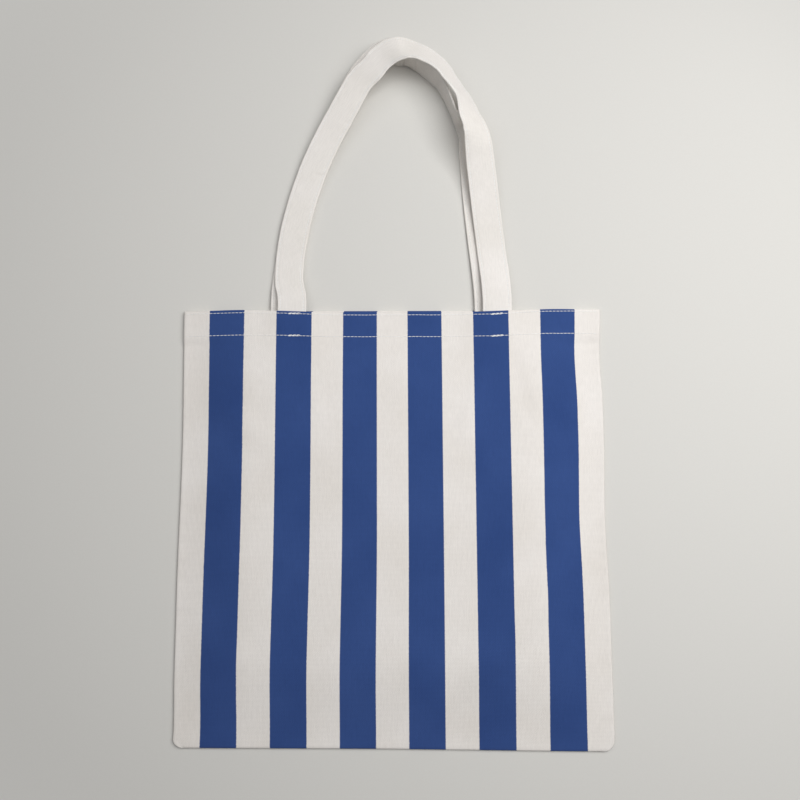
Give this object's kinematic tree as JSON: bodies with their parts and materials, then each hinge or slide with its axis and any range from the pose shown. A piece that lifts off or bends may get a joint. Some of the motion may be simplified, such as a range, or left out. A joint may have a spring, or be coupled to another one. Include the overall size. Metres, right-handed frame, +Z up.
{
  "type": "canvas tote bag",
  "caption": "Flat striped canvas tote bag with an open hemmed mouth, sewn sides and long folded-strap handles that swing at the hem.",
  "frame": {"origin": "middle of the outer face of the back panel, on which the bag lies", "axes": "+X across the bag to the right, +Y from the bottom seam to the mouth and the handles, +Z up from the back panel to the front panel"},
  "size_m": [0.36, 0.6051, 0.0336],
  "materials": {
    "striped_canvas": "woven cotton canvas printed with blue and off-white stripes",
    "strap_canvas": "plain off-white woven cotton canvas, folded and pressed",
    "cotton_thread": "matt white sewing thread"
  },
  "bodies": {
    "bag_back": {"back_panel": "striped_canvas", "back_hem": "striped_canvas", "back_hem_upper_stitching": "cotton_thread", "back_hem_lower_stitching": "cotton_thread", "left_seam_allowance": "striped_canvas", "left_seam_stitching": "cotton_thread", "left_seam_overlock": "cotton_thread", "right_seam_allowance": "striped_canvas", "right_seam_stitching": "cotton_thread", "right_seam_overlock": "cotton_thread", "bottom_seam_allowance": "striped_canvas", "bottom_seam_stitching": "cotton_thread", "bottom_seam_overlock": "cotton_thread", "back_handle_left_end": "strap_canvas", "back_handle_left_tack": "cotton_thread", "back_handle_right_end": "strap_canvas", "back_handle_right_tack": "cotton_thread"},
    "bag_front": {"front_panel": "striped_canvas", "front_hem": "striped_canvas", "front_hem_upper_stitching": "cotton_thread", "front_hem_lower_stitching": "cotton_thread", "front_handle_left_end": "strap_canvas", "front_handle_left_tack": "cotton_thread", "front_handle_right_end": "strap_canvas", "front_handle_right_tack": "cotton_thread"},
    "front_handle": {"front_handle_strap": "strap_canvas", "front_handle_edge_stitching": "cotton_thread"},
    "back_handle": {"back_handle_strap": "strap_canvas", "back_handle_edge_stitching": "cotton_thread"}
  },
  "joints": [
    {"name": "mouth_open", "type": "hinge", "parent": "bag_back", "child": "bag_front", "pos_m": [0, -0.1825, 0.0018], "axis": [1, 0, 0], "range_deg": [0, 10]},
    {"name": "front_handle_swing", "type": "hinge", "parent": "bag_front", "child": "front_handle", "pos_m": [0.0032, 0.1925, 0.0094], "axis": [1, 0, 0], "range_deg": [0, 160]},
    {"name": "back_handle_swing", "type": "hinge", "parent": "bag_back", "child": "back_handle", "pos_m": [-0.0034, 0.1925, 0.0018], "axis": [1, 0, 0], "range_deg": [-160, 0]}
  ]
}
